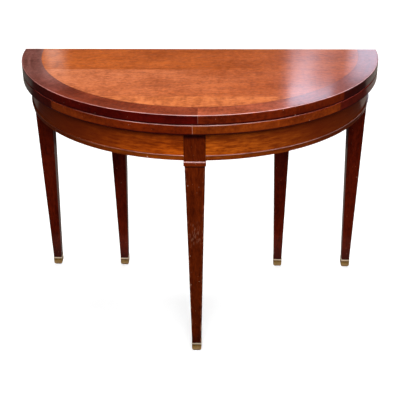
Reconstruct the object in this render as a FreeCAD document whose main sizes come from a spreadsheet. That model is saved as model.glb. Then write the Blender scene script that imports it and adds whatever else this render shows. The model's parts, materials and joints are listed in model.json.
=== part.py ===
"""Half-moon flip-top table: two stacked half-round leaves hinged at the straight back edge, a curved apron
on five square tapered legs in brass sabots, and a rear frame with two of the legs that slides out on wooden
runners to carry the opened leaf. Millimetres; X runs along the back edge, the round front faces -Y, Z is up,
and the origin lies on the floor under the middle of the closed table."""
import FreeCAD, Part
import math
import os
import re
import Sketcher

# Driving sizes: name, value, meaning
SIZES = [
    ("table_height", 770, "floor to the closed top"),
    ("top_radius", 550, "radius of both half-round leaves"),
    ("leaf_thickness", 27.5, "thickness of one leaf"),
    ("leaf_gap", 0.8, "air between the closed leaves"),
    ("rim_width", 60, "width of the curved rim round the field"),
    ("rim_joint_angle", 46.4, "angle from the rim's front joint to its outer joints"),
    ("upper_joint_turn", 1, "angle by which the upper rim's joints lie to the right"),
    ("lower_joint_turn", 0.5, "angle by which the lower rim's joints lie to the left"),
    ("arris", 2.5, "bevel of the rim's outer edges"),
    ("rear_board_share", 0.398, "board along the back edge, share of the field's depth"),
    ("middle_board_share", 0.445, "middle board, share of the field's depth"),
    ("top_overhang", 24, "leaf in front of the curved apron"),
    ("apron_thickness", 22, "thickness of the curved apron"),
    ("apron_height", 82, "height of the apron"),
    ("apron_tenon_length", 20, "tenon of the apron in the front leg"),
    ("apron_tenon_thickness", 8, "tenon of the apron in the front leg"),
    ("apron_tenon_height", 50, "tenon of the apron in the front leg"),
    ("band_height", 12, "flat band under the bead of the apron moulding"),
    ("band_proud", 1.5, "band's stand-out from the apron"),
    ("bead_height", 4, "bead of the apron moulding"),
    ("bead_proud", 4, "bead's stand-out from the apron"),
    ("leg_width", 52, "square leg at the top of its taper"),
    ("foot_width", 24.5, "square leg at its lower end"),
    ("outer_leg_setback", 2, "outer rear legs inside the apron's outer face"),
    ("inner_leg_spread", 530, "between the axes of the inner rear legs"),
    ("leg_inset", 5.6, "back edge of the leaf to the back of the rear legs"),
    ("collar_step", 3, "front leg's head block beyond the leg on each side"),
    ("block_proud", 6, "front leg's block in front of the apron"),
    ("collar_height", 16, "moulded collar under the front block"),
    ("collar_cove", 5, "slanting lower part of the collar"),
    ("collar_proud", 1.2, "collar beyond the block on each side"),
    ("quirk_height", 2, "small groove between block and collar"),
    ("quirk_depth", 1.2, "small groove between block and collar"),
    ("sabot_height", 29, "brass foot cap"),
    ("sabot_toe_height", 6, "narrowing toe of the cap"),
    ("sabot_floor", 2, "metal between the toe and the end of the leg"),
    ("sabot_wall", 1, "metal round the end of the leg"),
    ("sabot_toe_inset", 2.5, "narrowing of the toe on each side"),
    ("ring_height", 4, "ring round the top of the cap"),
    ("ring_proud", 0.8, "ring's stand-out from the cap"),
    ("ring_bevel", 1, "bevelled edges of the ring"),
    ("rear_rail_thickness", 24, "rail of the sliding rear frame"),
    ("rear_rail_height", 74, "rail of the sliding rear frame"),
    ("rail_end_clearance", 1, "rear rail to each outer leg"),
    ("frame_clearance", 0.5, "rear frame under the leaves"),
    ("runner_leg_gap", 26, "runner to the inner leg beside it"),
    ("runner_front_gap", 13, "runner to the inside of the apron"),
    ("runner_width", 28, "runner without its tongues"),
    ("runner_height", 40, "runner"),
    ("tongue_depth", 9, "tongue on each side of a runner"),
    ("tongue_height", 14, "tongue on each side of a runner"),
    ("runner_tenon_width", 16, "runner's tenon through the rear rail"),
    ("runner_tenon_height", 24, "runner's tenon through the rear rail"),
    ("slide_clearance", 0.4, "running room round runner and tongues"),
    ("peg_diameter", 10, "stop peg under each runner"),
    ("peg_seat", 25, "stop peg inside the runner"),
    ("peg_drop", 12, "stop peg below the runner"),
    ("peg_inset", 54.3, "stop peg to the front end of the runner"),
    ("cross_rail_thickness", 22, "fixed rail that the runners pass through"),
    ("cross_rail_height", 70, "fixed rail that the runners pass through"),
    ("cross_rail_gap", 4.4, "cross rail to the front of the rear legs"),
    ("guide_width", 26, "grooved guide beside a runner"),
    ("guide_height", 46, "grooved guide beside a runner"),
    ("guide_front_gap", 19, "guide to the inside of the apron"),
    ("glue_block_length", 44, "block in the corner of apron and leaf"),
    ("glue_block_depth", 24, "block in the corner of apron and leaf"),
    ("glue_block_height", 34, "block in the corner of apron and leaf"),
    ("glue_block_start", 11, "angle from the front to the first glue block"),
    ("glue_block_step", 27, "angle between the two glue blocks beside the runners"),
    ("hinge_end_gap", 75, "outer hinges to the ends of the field"),
    ("hinge_length", 70, "hinge along the back edge"),
    ("hinge_offset", 0.3, "hinge axis behind the back edge"),
    ("plate_width", 27, "hinge plate in from the back edge"),
    ("plate_thickness", 2, "hinge plate"),
    ("barrel_radius", 3.2, "hinge knuckles"),
    ("barrel_clearance", 0.4, "room round the knuckles"),
    ("knuckle_gap", 0.2, "between neighbouring knuckles"),
    ("pin_radius", 1.6, "hinge pin"),
    ("pin_clearance", 0.05, "round the hinge pin"),
    ("joint_fit", 0.1, "room on each side in joints and seats"),
    ("glue_line", 0.15, "between curved faces that are glued"),
    ("cut_overrun", 5, "how far cuts run past the faces they open"),
]

# Places and widths worked out from the driving sizes
PLACES = [
    ("back_y", "(top_radius - hinge_offset - barrel_radius) / 2"),
    ("hinge_y", "back_y + hinge_offset"),
    ("upper_z", "table_height - leaf_thickness"),
    ("hinge_z", "upper_z - leaf_gap / 2"),
    ("lower_top_z", "upper_z - leaf_gap"),
    ("lower_z", "lower_top_z - leaf_thickness"),
    ("apron_z", "lower_z - apron_height"),
    ("collar_z", "apron_z - collar_height"),
    ("field_radius", "top_radius - rim_width"),
    ("rear_board_width", "rear_board_share * field_radius"),
    ("middle_board_width", "middle_board_share * field_radius"),
    ("apron_radius", "top_radius - top_overhang"),
    ("apron_inner", "apron_radius - apron_thickness"),
    ("block_width", "leg_width + 2 * collar_step"),
    ("foot_z", "sabot_toe_height + sabot_floor"),
    ("outer_leg_x", "apron_radius - outer_leg_setback - leg_width / 2"),
    ("inner_leg_x", "inner_leg_spread / 2"),
    ("rear_leg_y", "back_y - leg_inset - leg_width / 2"),
    ("front_leg_y", "back_y - apron_radius - block_proud + block_width / 2"),
    ("frame_top_z", "lower_z - frame_clearance"),
    ("rear_rail_y", "rear_leg_y - rear_rail_thickness / 2"),
    ("rear_rail_z", "frame_top_z - rear_rail_height"),
    ("runner_span", "runner_width + 2 * tongue_depth"),
    ("runner_x", "inner_leg_x - leg_width / 2 - runner_leg_gap - runner_span / 2"),
    ("runner_reach", "sqrt(pow(apron_inner; 2) - pow(runner_x + runner_span / 2; 2)) - runner_front_gap"),
    ("runner_y", "back_y - runner_reach"),
    ("runner_z", "frame_top_z - runner_height"),
    ("runner_length", "rear_rail_y - runner_y"),
    ("tongue_z", "runner_z + (runner_height - tongue_height) / 2"),
    ("cross_rail_y", "rear_leg_y - leg_width / 2 - cross_rail_gap - cross_rail_thickness"),
    ("guide_near", "runner_width / 2 + slide_clearance"),
    ("guide_edge_x", "runner_x + guide_near + guide_width"),
    ("guide_reach", "sqrt(pow(apron_inner; 2) - pow(guide_edge_x; 2)) - guide_front_gap"),
    ("guide_y", "back_y - guide_reach"),
    ("guide_length", "cross_rail_y - guide_y"),
    ("peg_y", "runner_y + peg_inset"),
    ("slide_travel", "cross_rail_y - peg_y - peg_diameter / 2 - slide_clearance"),
    ("hinge_x", "field_radius - hinge_end_gap - hinge_length / 2"),
    ("plate_end_y", "hinge_y - barrel_radius - barrel_clearance"),
]

KNUCKLES = 5
QUARTER_TURN = 90
BEAD_BEVEL_SHARE = 0.4
SIDES = (("left", -1), ("right", 1))
Z_AXIS = FreeCAD.Vector(0, 0, 1)
ALONG_X = FreeCAD.Rotation(FreeCAD.Vector(0, 1, 0), QUARTER_TURN)
UPRIGHT = FreeCAD.Rotation(FreeCAD.Vector(1, 0, 0), QUARTER_TURN)

doc = FreeCAD.newDocument("half_moon_table")
nodes = []


def fill_sheet(name, rows):
    """Spreadsheet with one aliased cell for each row."""
    sheet = doc.addObject("Spreadsheet::Sheet", name)
    for number, (alias, content, note) in enumerate(rows, 1):
        sheet.set(f"A{number}", note)
        sheet.set(f"B{number}", content)
        sheet.setAlias(f"B{number}", alias)
    doc.recompute()
    return sheet


sheet_of = {alias: "Sizes" for alias, _, _ in SIZES}
sheet_of.update({alias: "Places" for alias, _ in PLACES})


def ex(text):
    """Expression in which every size is looked up in its sheet."""
    def looked_up(match):
        word = match[0]
        return f"{sheet_of[word]}.{word}" if word in sheet_of else word
    return re.sub(r"[a-z]\w*", looked_up, text)


sizes = fill_sheet("Sizes", [(alias, str(value), note) for alias, value, note in SIZES])
places = fill_sheet("Places", [(alias, "=" + ex(text), text) for alias, text in PLACES])


def number(text):
    """Value of an expression in sizes."""
    return float(sizes.evalExpression(ex(text)))


def bind(obj, expressions):
    """Ties properties of an object to the sheets."""
    for key, text in expressions.items():
        obj.setExpression(key, ex(text))
    return obj


def at(x, y, z):
    """Placement expressions for a point."""
    return {"Placement.Base.x": x, "Placement.Base.y": y, "Placement.Base.z": z}


def node(label, obj):
    """Keeps a finished sub-part under its name."""
    obj.Label = label
    nodes.append(obj)
    return obj


def box(x, y, z, length, width, height):
    """Block from its lowest corner."""
    solid = doc.addObject("Part::Box", "Block")
    return bind(solid, {"Length": length, "Width": width, "Height": height, **at(x, y, z)})


def upright(x, y, z, radius, height):
    """Standing cylinder."""
    solid = doc.addObject("Part::Cylinder", "Round")
    return bind(solid, {"Radius": radius, "Height": height, **at(x, y, z)})


def along_x(x, y, z, radius, length):
    """Cylinder lying along the back edge."""
    solid = doc.addObject("Part::Cylinder", "Bar")
    solid.Placement = FreeCAD.Placement(FreeCAD.Vector(), ALONG_X)
    return bind(solid, {"Radius": radius, "Height": length, **at(x, y, z)})


def fuse(shapes):
    """One solid, or a set of separate solids, from several."""
    union = doc.addObject("Part::MultiFuse", "Union")
    union.Shapes = shapes
    return union


def cut(base, tool):
    """Base without the tool."""
    result = doc.addObject("Part::Cut", "Cut")
    result.Base = base
    result.Tool = tool
    return result


def common(base, tool):
    """What two shapes share."""
    result = doc.addObject("Part::Common", "Common")
    result.Base = base
    result.Tool = tool
    return result


def group(shapes):
    """Separate solids kept together."""
    compound = doc.addObject("Part::Compound", "Group")
    compound.Links = shapes
    return compound


def new_sketch(body, name, role, height="0"):
    """Sketch on one of the body's own planes, raised by a height."""
    sketch = body.newObject("Sketcher::SketchObject", name)
    plane = next(feature for feature in body.Origin.OriginFeatures if feature.Role == role)
    sketch.AttachmentSupport = [(plane, "")]
    sketch.MapMode = "FlatFace"
    return bind(sketch, {"AttachmentOffset.Base.z": height})


def constrain(sketch, name, expression, *constraint):
    """Adds a named dimension that follows the sheets."""
    index = sketch.addConstraint(Sketcher.Constraint(*constraint, number(expression)))
    sketch.renameConstraint(index, name)
    sketch.setExpression(f"Constraints.{name}", ex(expression))


def four_lines(sketch, low_x, high_x, low_y, high_y):
    """Closed rectangle with its sides kept level and upright."""
    corners = [(low_x, low_y), (high_x, low_y), (high_x, high_y), (low_x, high_y)]
    points = [FreeCAD.Vector(x, y, 0) for x, y in corners]
    for start, end in zip(points, points[1:] + points[:1]):
        sketch.addGeometry(Part.LineSegment(start, end), False)
    for side in range(len(points)):
        sketch.addConstraint(Sketcher.Constraint("Coincident", side, 2, (side + 1) % len(points), 1))
        sketch.addConstraint(Sketcher.Constraint("Vertical" if side % 2 else "Horizontal", side))


def stacked(body, kind, sections):
    """Square pyramid stumps one on another about the body's axis, each section a width at a height."""
    for (low_width, low), (high_width, high) in zip(sections, sections[1:]):
        stump = body.newObject(f"PartDesign::{kind}", "Stump")
        stump.Placement = FreeCAD.Placement(FreeCAD.Vector(), UPRIGHT)
        bind(stump, {"Ymin": low, "Ymax": high})
        for end, width in (("", low_width), ("2", high_width)):
            for axis in "XZ":
                bind(stump, {f"{axis}{end}min": f"-({width}) / 2", f"{axis}{end}max": f"({width}) / 2"})


def new_body(name, x, y, z):
    """Body standing at a place."""
    return bind(doc.addObject("PartDesign::Body", name), at(x, y, z))


def bevel_arcs(body, feature, radius, size):
    """Bevel on the level arcs of a radius."""
    doc.recompute()
    arcs = []
    for index, edge in enumerate(feature.Shape.Edges, 1):
        if hasattr(edge.Curve, "Radius") and abs(edge.Curve.Radius - number(radius)) < number("joint_fit"):
            arcs.append(f"Edge{index}")
    bevel = body.newObject("PartDesign::Chamfer", "Bevel")
    bevel.Base = (feature, arcs)
    return bind(bevel, {"Size": size})


def rim_segment(label, z, start_angle, end_angle):
    """Solid curved rim piece, turned about the centre of the back edge, with its outer edges bevelled.
    Angles are counted from the front of the round, towards +X."""
    body = doc.addObject("PartDesign::Body", "Rim")
    sketch = new_sketch(body, "RimSection", "XZ_Plane")
    four_lines(sketch, number("field_radius"), number("top_radius"), 0, number("leaf_thickness"))
    sketch.addConstraint(Sketcher.Constraint("PointOnObject", 0, 1, -1))
    constrain(sketch, "inner", "field_radius", "DistanceX", -1, 1, 0, 1)
    constrain(sketch, "outer", "top_radius", "DistanceX", -1, 1, 0, 2)
    constrain(sketch, "thick", "leaf_thickness", "DistanceY", 1, 1, 1, 2)
    turn = body.newObject("PartDesign::Revolution", "RimTurn")
    turn.Profile = sketch
    turn.ReferenceAxis = (sketch, ["V_Axis"])
    turn.Midplane = True
    bind(turn, {"Angle": f"({end_angle}) - ({start_angle})"})
    bevel_arcs(body, turn, "top_radius", "arris")
    middle = number(f"(({start_angle}) + ({end_angle})) / 2") - QUARTER_TURN
    body.Placement = FreeCAD.Placement(FreeCAD.Vector(), FreeCAD.Rotation(Z_AXIS, middle))
    return node(label, bind(body, at("0", "back_y", z)))


def field_board(z, near_edge, far_edge):
    """Board of the half-round field between two distances in front of the back edge."""
    disc = upright("0", "back_y", z, "field_radius - glue_line", "leaf_thickness")
    width = f"({far_edge}) - ({near_edge})"
    strip = box("-field_radius", f"back_y - ({far_edge})", z, "2 * field_radius", width, "leaf_thickness")
    return common(disc, strip)


HINGES = (("left", "-hinge_x"), ("middle", "0"), ("right", "hinge_x"))


def hinge_recesses(is_upper):
    """Room for the plates and the knuckles in a leaf's back board."""
    plate_z = "upper_z - cut_overrun" if is_upper else "lower_top_z - plate_thickness"
    tools = []
    for _, middle_x in HINGES:
        start = f"{middle_x} - hinge_length / 2"
        tools.append(box(f"{start} - joint_fit", "back_y - plate_width - joint_fit", plate_z,
                         "hinge_length + 2 * joint_fit", "plate_width + joint_fit + cut_overrun",
                         "plate_thickness + cut_overrun"))
        tools.append(along_x(f"{start} - barrel_clearance", "hinge_y", "hinge_z",
                             "barrel_radius + barrel_clearance", "hinge_length + 2 * barrel_clearance"))
    return fuse(tools)


def leaf(name, z, is_upper):
    """Half-round leaf: three field boards with the grain along the back edge, and a rim in four segments."""
    first = "rear_board_width"
    second = "rear_board_width + middle_board_width"
    node(f"{name}_rear_board", cut(field_board(z, "0", first), hinge_recesses(is_upper)))
    node(f"{name}_middle_board", field_board(z, first, second))
    node(f"{name}_front_board", field_board(z, second, "field_radius"))
    front = "upper_joint_turn" if is_upper else "-lower_joint_turn"
    left = f"{front} - rim_joint_angle"
    right = f"{front} + rim_joint_angle"
    rim_segment(f"{name}_rim_left_end", z, f"-{QUARTER_TURN}", left)
    rim_segment(f"{name}_rim_left", z, left, front)
    rim_segment(f"{name}_rim_right", z, front, right)
    rim_segment(f"{name}_rim_right_end", z, right, f"{QUARTER_TURN}")


def hinge_plate(label, middle_x, is_upper):
    """Brass plate with its share of the knuckles, bored for the pin."""
    plate_z = "upper_z" if is_upper else "lower_top_z - plate_thickness"
    start = f"{middle_x} - hinge_length / 2"
    knuckle = f"(hinge_length - {KNUCKLES - 1} * knuckle_gap) / {KNUCKLES}"
    plate_depth = "plate_end_y - back_y + plate_width"
    solids = [box(start, "back_y - plate_width", plate_z, "hinge_length", plate_depth, "plate_thickness")]
    for index in range(1 if is_upper else 0, KNUCKLES, 2):
        knuckle_x = f"{start} + {index} * ({knuckle} + knuckle_gap)"
        web_depth = "hinge_y - plate_end_y"
        solids.append(box(knuckle_x, "plate_end_y", plate_z, knuckle, web_depth, "plate_thickness"))
        solids.append(along_x(knuckle_x, "hinge_y", "hinge_z", "barrel_radius", knuckle))
    bore = along_x(f"{start} - cut_overrun", "hinge_y", "hinge_z", "pin_radius + pin_clearance",
                   "hinge_length + 2 * cut_overrun")
    node(label, cut(fuse(solids), bore))


def hinges():
    """Three butt hinges let into the back edges of the leaves, with their pins."""
    for name, middle_x in HINGES:
        hinge_plate(f"hinge_lower_{name}", middle_x, False)
        hinge_plate(f"hinge_upper_{name}", middle_x, True)
    pins = [along_x(f"{middle_x} - hinge_length / 2", "hinge_y", "hinge_z", "pin_radius", "hinge_length")
            for _, middle_x in HINGES]
    node("hinge_pins", group(pins))


def curved_strip(body, name, side, inner, outer, height):
    """Quarter-round outline from the front leg's block to the plane of the rear legs' backs."""
    sketch = new_sketch(body, name, "XY_Plane", height)
    end_x = f"{side} * block_width / 2"
    end_y = "-leg_inset"
    front, rear = (1, 2) if side > 0 else (2, 1)
    ends = {}
    for radius_text in (outer, inner):
        radius = number(radius_text)
        front_point = FreeCAD.Vector(number(end_x), -(radius ** 2 - number(end_x) ** 2) ** 0.5, 0)
        rear_point = FreeCAD.Vector(side * (radius ** 2 - number(end_y) ** 2) ** 0.5, number(end_y), 0)
        circle = Part.Circle(FreeCAD.Vector(), Z_AXIS, radius)
        first, last = (front_point, rear_point) if side > 0 else (rear_point, front_point)
        curve = Part.ArcOfCircle(circle, circle.parameter(first), circle.parameter(last))
        arc = sketch.addGeometry(curve, False)
        sketch.addConstraint(Sketcher.Constraint("Coincident", arc, 3, -1, 1))
        constrain(sketch, f"radius{arc}", radius_text, "Radius", arc)
        ends[arc] = (front_point, rear_point)
    for end, vertex in ((0, front), (1, rear)):
        line = sketch.addGeometry(Part.LineSegment(ends[0][end], ends[1][end]), False)
        sketch.addConstraint(Sketcher.Constraint("Coincident", line, 1, 0, vertex))
        sketch.addConstraint(Sketcher.Constraint("Coincident", line, 2, 1, vertex))
        if end == 0:
            sketch.addConstraint(Sketcher.Constraint("Vertical", line))
            constrain(sketch, "front_end", end_x, "DistanceX", -1, 1, line, 1)
        else:
            sketch.addConstraint(Sketcher.Constraint("Horizontal", line))
            constrain(sketch, "rear_end", end_y, "DistanceY", -1, 1, line, 1)
    return sketch


def pad(body, name, sketch, length):
    """Sketch raised by a height."""
    raised = body.newObject("PartDesign::Pad", name)
    raised.Profile = sketch
    return bind(raised, {"Length": length})


def apron_tenon(side, fit):
    """Tenon of a curved apron half in the front leg's block, grown by a fit on its long sides."""
    reach = f"apron_tenon_length + {fit}"
    x = f"block_width / 2 - ({reach})" if side > 0 else "-block_width / 2"
    middle = "(apron_radius + apron_inner) / 2"
    y = f"back_y - sqrt(pow({middle}; 2) - pow(block_width / 2; 2)) - apron_tenon_thickness / 2 - {fit}"
    z = f"apron_z + (apron_height - apron_tenon_height) / 2 - {fit}"
    return box(x, y, z, reach, f"apron_tenon_thickness + 2 * {fit}", f"apron_tenon_height + 2 * {fit}")


def apron(name, side):
    """Curved apron half with a tenon for the front leg, and the moulding along its lower edge."""
    rail = new_body("Apron", "0", "back_y", "apron_z")
    outline = curved_strip(rail, "ApronOutline", side, "apron_inner", "apron_radius", "0")
    pad(rail, "ApronPad", outline, "apron_height")
    node(f"apron_{name}", fuse([rail, apron_tenon(side, "0")]))
    moulding = new_body("Moulding", "0", "back_y", "apron_z")
    face = "apron_radius + glue_line"
    band = curved_strip(moulding, "BandOutline", side, face, "apron_radius + band_proud", "0")
    pad(moulding, "BandPad", band, "band_height")
    crown = "apron_radius + bead_proud"
    bead = curved_strip(moulding, "BeadOutline", side, face, crown, "band_height")
    bead_pad = pad(moulding, "BeadPad", bead, "bead_height")
    bevel_arcs(moulding, bead_pad, crown, f"{BEAD_BEVEL_SHARE} * bead_height")
    node(f"apron_moulding_{name}", moulding)


def sabot(label, x, y, taper_top):
    """Brass cap on a leg's foot: narrowing toe, plain cup and a bevelled ring, hollow for the wood."""
    def wood(height):
        rise = f"(({height}) - foot_z) / (({taper_top}) - foot_z)"
        return f"foot_width + (leg_width - foot_width) * {rise}"

    def cup(height, extra="0"):
        return f"{wood(height)} + 2 * (joint_fit + sabot_wall + ({extra}))"

    cap = new_body("Sabot", x, y, "0")
    ring_z = "sabot_height - ring_height"
    stacked(cap, "AdditiveWedge", [
        (cup("sabot_toe_height", "-sabot_toe_inset"), "0"),
        (cup("sabot_toe_height"), "sabot_toe_height"),
        (cup(ring_z), ring_z),
        (cup(ring_z, "ring_proud"), f"{ring_z} + ring_bevel"),
        (cup("sabot_height", "ring_proud"), "sabot_height - ring_bevel"),
        (cup("sabot_height"), "sabot_height"),
    ])
    stacked(cap, "SubtractiveWedge", [
        (f"{wood('foot_z')} + 2 * joint_fit", "foot_z"),
        (f"{wood('sabot_height')} + 2 * joint_fit", "sabot_height"),
    ])
    return node(label, cap)


def plain_leg(x, head_z):
    """Rear leg: square taper up to the apron's lower edge, then straight to its head."""
    leg = new_body("Leg", x, "rear_leg_y", "0")
    stacked(leg, "AdditiveWedge", [
        ("foot_width", "foot_z"),
        ("leg_width", "apron_z"),
        ("leg_width", head_z),
    ])
    return leg


def front_leg():
    """Front leg: taper, collar, small groove and a block that receives both apron tenons."""
    leg = new_body("FrontLeg", "0", "front_leg_y", "0")
    collar_width = "block_width + 2 * collar_proud"
    stacked(leg, "AdditiveWedge", [
        ("foot_width", "foot_z"),
        ("leg_width", "collar_z"),
        (collar_width, "collar_z + collar_cove"),
        (collar_width, "apron_z - quirk_height"),
        ("block_width - 2 * quirk_depth", "apron_z - quirk_height / 2"),
        ("block_width", "apron_z"),
        ("block_width", "lower_z"),
    ])
    mortises = fuse([apron_tenon(side, "joint_fit") for _, side in SIDES])
    node("front_leg", cut(leg, mortises))
    sabot("front_sabot", "0", "front_leg_y", "collar_z")


def outer_legs():
    """Fixed rear legs, rebated at the head so that the apron laps over them and stands on their shoulder."""
    height = "apron_height + cut_overrun"
    outside = upright("0", "back_y", "apron_z", "apron_radius + leg_width", height)
    inside = upright("0", "back_y", "apron_z", "apron_inner - glue_line", height)
    lap = cut(outside, inside)
    for name, side in SIDES:
        x = f"{side} * outer_leg_x"
        node(f"outer_leg_{name}", cut(plain_leg(x, "lower_z"), lap))
        sabot(f"outer_sabot_{name}", x, "rear_leg_y", "apron_z")


def inner_legs():
    """Sliding rear legs, slotted at the head to sit astride the rear rail."""
    for name, side in SIDES:
        x = f"{side} * inner_leg_x"
        slot = box(f"{x} - leg_width / 2 - cut_overrun", "rear_rail_y", "rear_rail_z",
                   "leg_width + 2 * cut_overrun", "rear_rail_thickness", "rear_rail_height + cut_overrun")
        node(f"inner_leg_{name}", cut(plain_leg(x, "frame_top_z"), slot))
        sabot(f"inner_sabot_{name}", x, "rear_leg_y", "apron_z")


def runner_tenon(side, fit):
    """Tenon of a runner through the rear rail, grown by a fit on its long sides."""
    return box(f"{side} * runner_x - runner_tenon_width / 2 - {fit}", "rear_rail_y",
               f"runner_z + (runner_height - runner_tenon_height) / 2 - {fit}",
               f"runner_tenon_width + 2 * {fit}", "rear_rail_thickness", f"runner_tenon_height + 2 * {fit}")


def rear_frame():
    """Sliding frame: rear rail, and two tongued runners with stop pegs."""
    half_length = "outer_leg_x - leg_width / 2 - rail_end_clearance"
    rail = box(f"-({half_length})", "rear_rail_y", "rear_rail_z", f"2 * ({half_length})",
               "rear_rail_thickness", "rear_rail_height")
    node("rear_rail", cut(rail, fuse([runner_tenon(side, "joint_fit") for _, side in SIDES])))
    for name, side in SIDES:
        x = f"{side} * runner_x"
        bar = box(f"{x} - runner_width / 2", "runner_y", "runner_z",
                  "runner_width", "runner_length", "runner_height")
        tongues = box(f"{x} - runner_span / 2", "runner_y", "tongue_z",
                      "runner_span", "runner_length", "tongue_height")
        seat = upright(x, "peg_y", "runner_z", "peg_diameter / 2 + joint_fit", "peg_seat")
        node(f"runner_{name}", cut(fuse([bar, tongues, runner_tenon(side, "0")]), seat))
        peg = upright(x, "peg_y", "runner_z - peg_drop", "peg_diameter / 2", "peg_drop + peg_seat")
        node(f"stop_peg_{name}", peg)


def cross_rail():
    """Fixed rail between the ends of the apron, notched for the runners to pass."""
    rail = box("-apron_inner", "cross_rail_y", "lower_z - cross_rail_height",
               "2 * apron_inner", "cross_rail_thickness", "cross_rail_height")
    inside = upright("0", "back_y", "apron_z", "apron_inner - glue_line", "apron_height")
    notches = []
    for _, side in SIDES:
        start = f"{side} * runner_x - runner_span / 2 - slide_clearance"
        notches.append(box(start, "cross_rail_y - cut_overrun", "runner_z - slide_clearance",
                           "runner_span + 2 * slide_clearance", "cross_rail_thickness + 2 * cut_overrun",
                           "runner_height + cut_overrun"))
    node("cross_rail", cut(common(rail, inside), fuse(notches)))


def guides():
    """Grooved guides under the lower leaf, one on each side of both runners."""
    for name, side in SIDES:
        for place, outward in (("inner", -side), ("outer", side)):
            near = f"{side} * runner_x + {outward} * guide_near"
            x = near if outward > 0 else f"{near} - guide_width"
            groove_x = f"{near} - cut_overrun" if outward > 0 else f"{near} - tongue_depth"
            blank = box(x, "guide_y", "lower_z - guide_height", "guide_width", "guide_length", "guide_height")
            groove = box(groove_x, "guide_y - cut_overrun", "tongue_z - slide_clearance",
                         "tongue_depth + cut_overrun", "guide_length + 2 * cut_overrun",
                         "tongue_height + 2 * slide_clearance")
            node(f"guide_{name}_{place}", cut(blank, groove))


def glue_blocks():
    """Blocks rubbed into the corner of the apron and the lower leaf, hollowed to the apron's curve:
    on each side one between the runners and two beyond them."""
    reach = "apron_inner - glue_line"
    first_beyond = math.degrees(math.asin(number("(guide_edge_x + glue_block_length) / apron_inner")))
    angles = [number("glue_block_start"), first_beyond, first_beyond + number("glue_block_step")]
    centre = FreeCAD.Vector(0, number("back_y"), number("lower_z - glue_block_height"))
    corner = FreeCAD.Vector(number(f"{reach} - glue_block_depth"), number("-glue_block_length / 2"), 0)
    blocks = []
    for _, side in SIDES:
        for angle in angles:
            turn = FreeCAD.Rotation(Z_AXIS, side * angle - QUARTER_TURN)
            block = doc.addObject("Part::Box", "GlueBlock")
            block.Placement = FreeCAD.Placement(centre + turn.multVec(corner), turn)
            bind(block, {"Length": "glue_block_depth + glue_line", "Width": "glue_block_length",
                         "Height": "glue_block_height"})
            blocks.append(block)
    inside = upright("0", "back_y", "lower_z - glue_block_height", reach, "glue_block_height")
    node("glue_blocks", common(fuse(blocks), inside))


def export():
    """Stops on a failed object, then writes every sub-part to its own file."""
    doc.recompute()
    failed = [obj.Name for obj in doc.Objects if "Invalid" in obj.State or "Error" in obj.State]
    for obj in nodes:
        if obj.Shape.isNull() or not obj.Shape.isValid() or not obj.Shape.Solids:
            failed.append(obj.Label)
    if failed:
        raise RuntimeError(f"failed objects: {failed}")
    os.makedirs("parts", exist_ok=True)
    for obj in nodes:
        obj.Shape.exportStep(f"parts/{obj.Label}.step")
        print(f"{obj.Label}: {len(obj.Shape.Solids)} solids, {obj.Shape.Volume / 1000:.1f} cubic centimetres")
    print(f"travel of the rear frame: {number('slide_travel'):.2f}")


leaf("upper", "upper_z", True)
leaf("lower", "lower_z", False)
hinges()
front_leg()
outer_legs()
inner_legs()
for side_name, side_sign in SIDES:
    apron(side_name, side_sign)
cross_rail()
guides()
glue_blocks()
rear_frame()
export()
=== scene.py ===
"""Looks of the half-moon flip-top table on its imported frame: rounded rims, curved aprons with their
mouldings, square tapered legs, brass sabots and hinge screws, wood finishes that follow the grain of each
piece, a pale floor, soft light and the camera.
Metres; X runs along the back edge, the round front faces -Y, Z is up."""
import json
import math
from collections import namedtuple
import bmesh
import bpy
from mathutils import Matrix, Vector


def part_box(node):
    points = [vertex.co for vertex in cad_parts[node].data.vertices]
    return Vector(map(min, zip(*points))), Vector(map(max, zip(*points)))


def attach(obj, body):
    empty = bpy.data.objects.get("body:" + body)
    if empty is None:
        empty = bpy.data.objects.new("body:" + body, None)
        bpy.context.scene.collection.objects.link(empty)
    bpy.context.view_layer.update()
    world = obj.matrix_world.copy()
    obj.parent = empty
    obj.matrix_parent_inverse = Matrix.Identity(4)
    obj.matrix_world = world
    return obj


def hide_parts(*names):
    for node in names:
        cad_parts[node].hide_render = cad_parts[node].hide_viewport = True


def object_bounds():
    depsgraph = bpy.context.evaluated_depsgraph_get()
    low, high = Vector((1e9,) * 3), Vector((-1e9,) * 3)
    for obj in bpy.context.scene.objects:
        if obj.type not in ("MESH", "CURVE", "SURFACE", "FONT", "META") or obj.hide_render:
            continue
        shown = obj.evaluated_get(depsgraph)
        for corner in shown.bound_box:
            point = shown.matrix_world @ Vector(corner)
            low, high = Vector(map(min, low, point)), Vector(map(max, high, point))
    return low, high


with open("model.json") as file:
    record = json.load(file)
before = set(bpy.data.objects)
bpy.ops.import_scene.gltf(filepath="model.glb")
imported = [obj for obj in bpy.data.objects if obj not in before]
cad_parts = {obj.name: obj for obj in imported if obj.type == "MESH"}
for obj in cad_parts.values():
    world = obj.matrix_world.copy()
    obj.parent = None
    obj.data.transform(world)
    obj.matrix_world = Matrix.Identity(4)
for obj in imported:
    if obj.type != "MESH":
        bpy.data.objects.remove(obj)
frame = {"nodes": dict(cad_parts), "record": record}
cad_low, cad_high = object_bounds()

MM = 0.001
BODIES = frame["record"]["behaviour"]["bodies"]
BODY_OF = {node: body for body, members in BODIES.items() for node in members}
SLOT_OF = {part["node"]: part["material_slot"] for part in frame["record"]["subparts"]}
SIDES = (("left", -1), ("right", 1))

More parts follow.
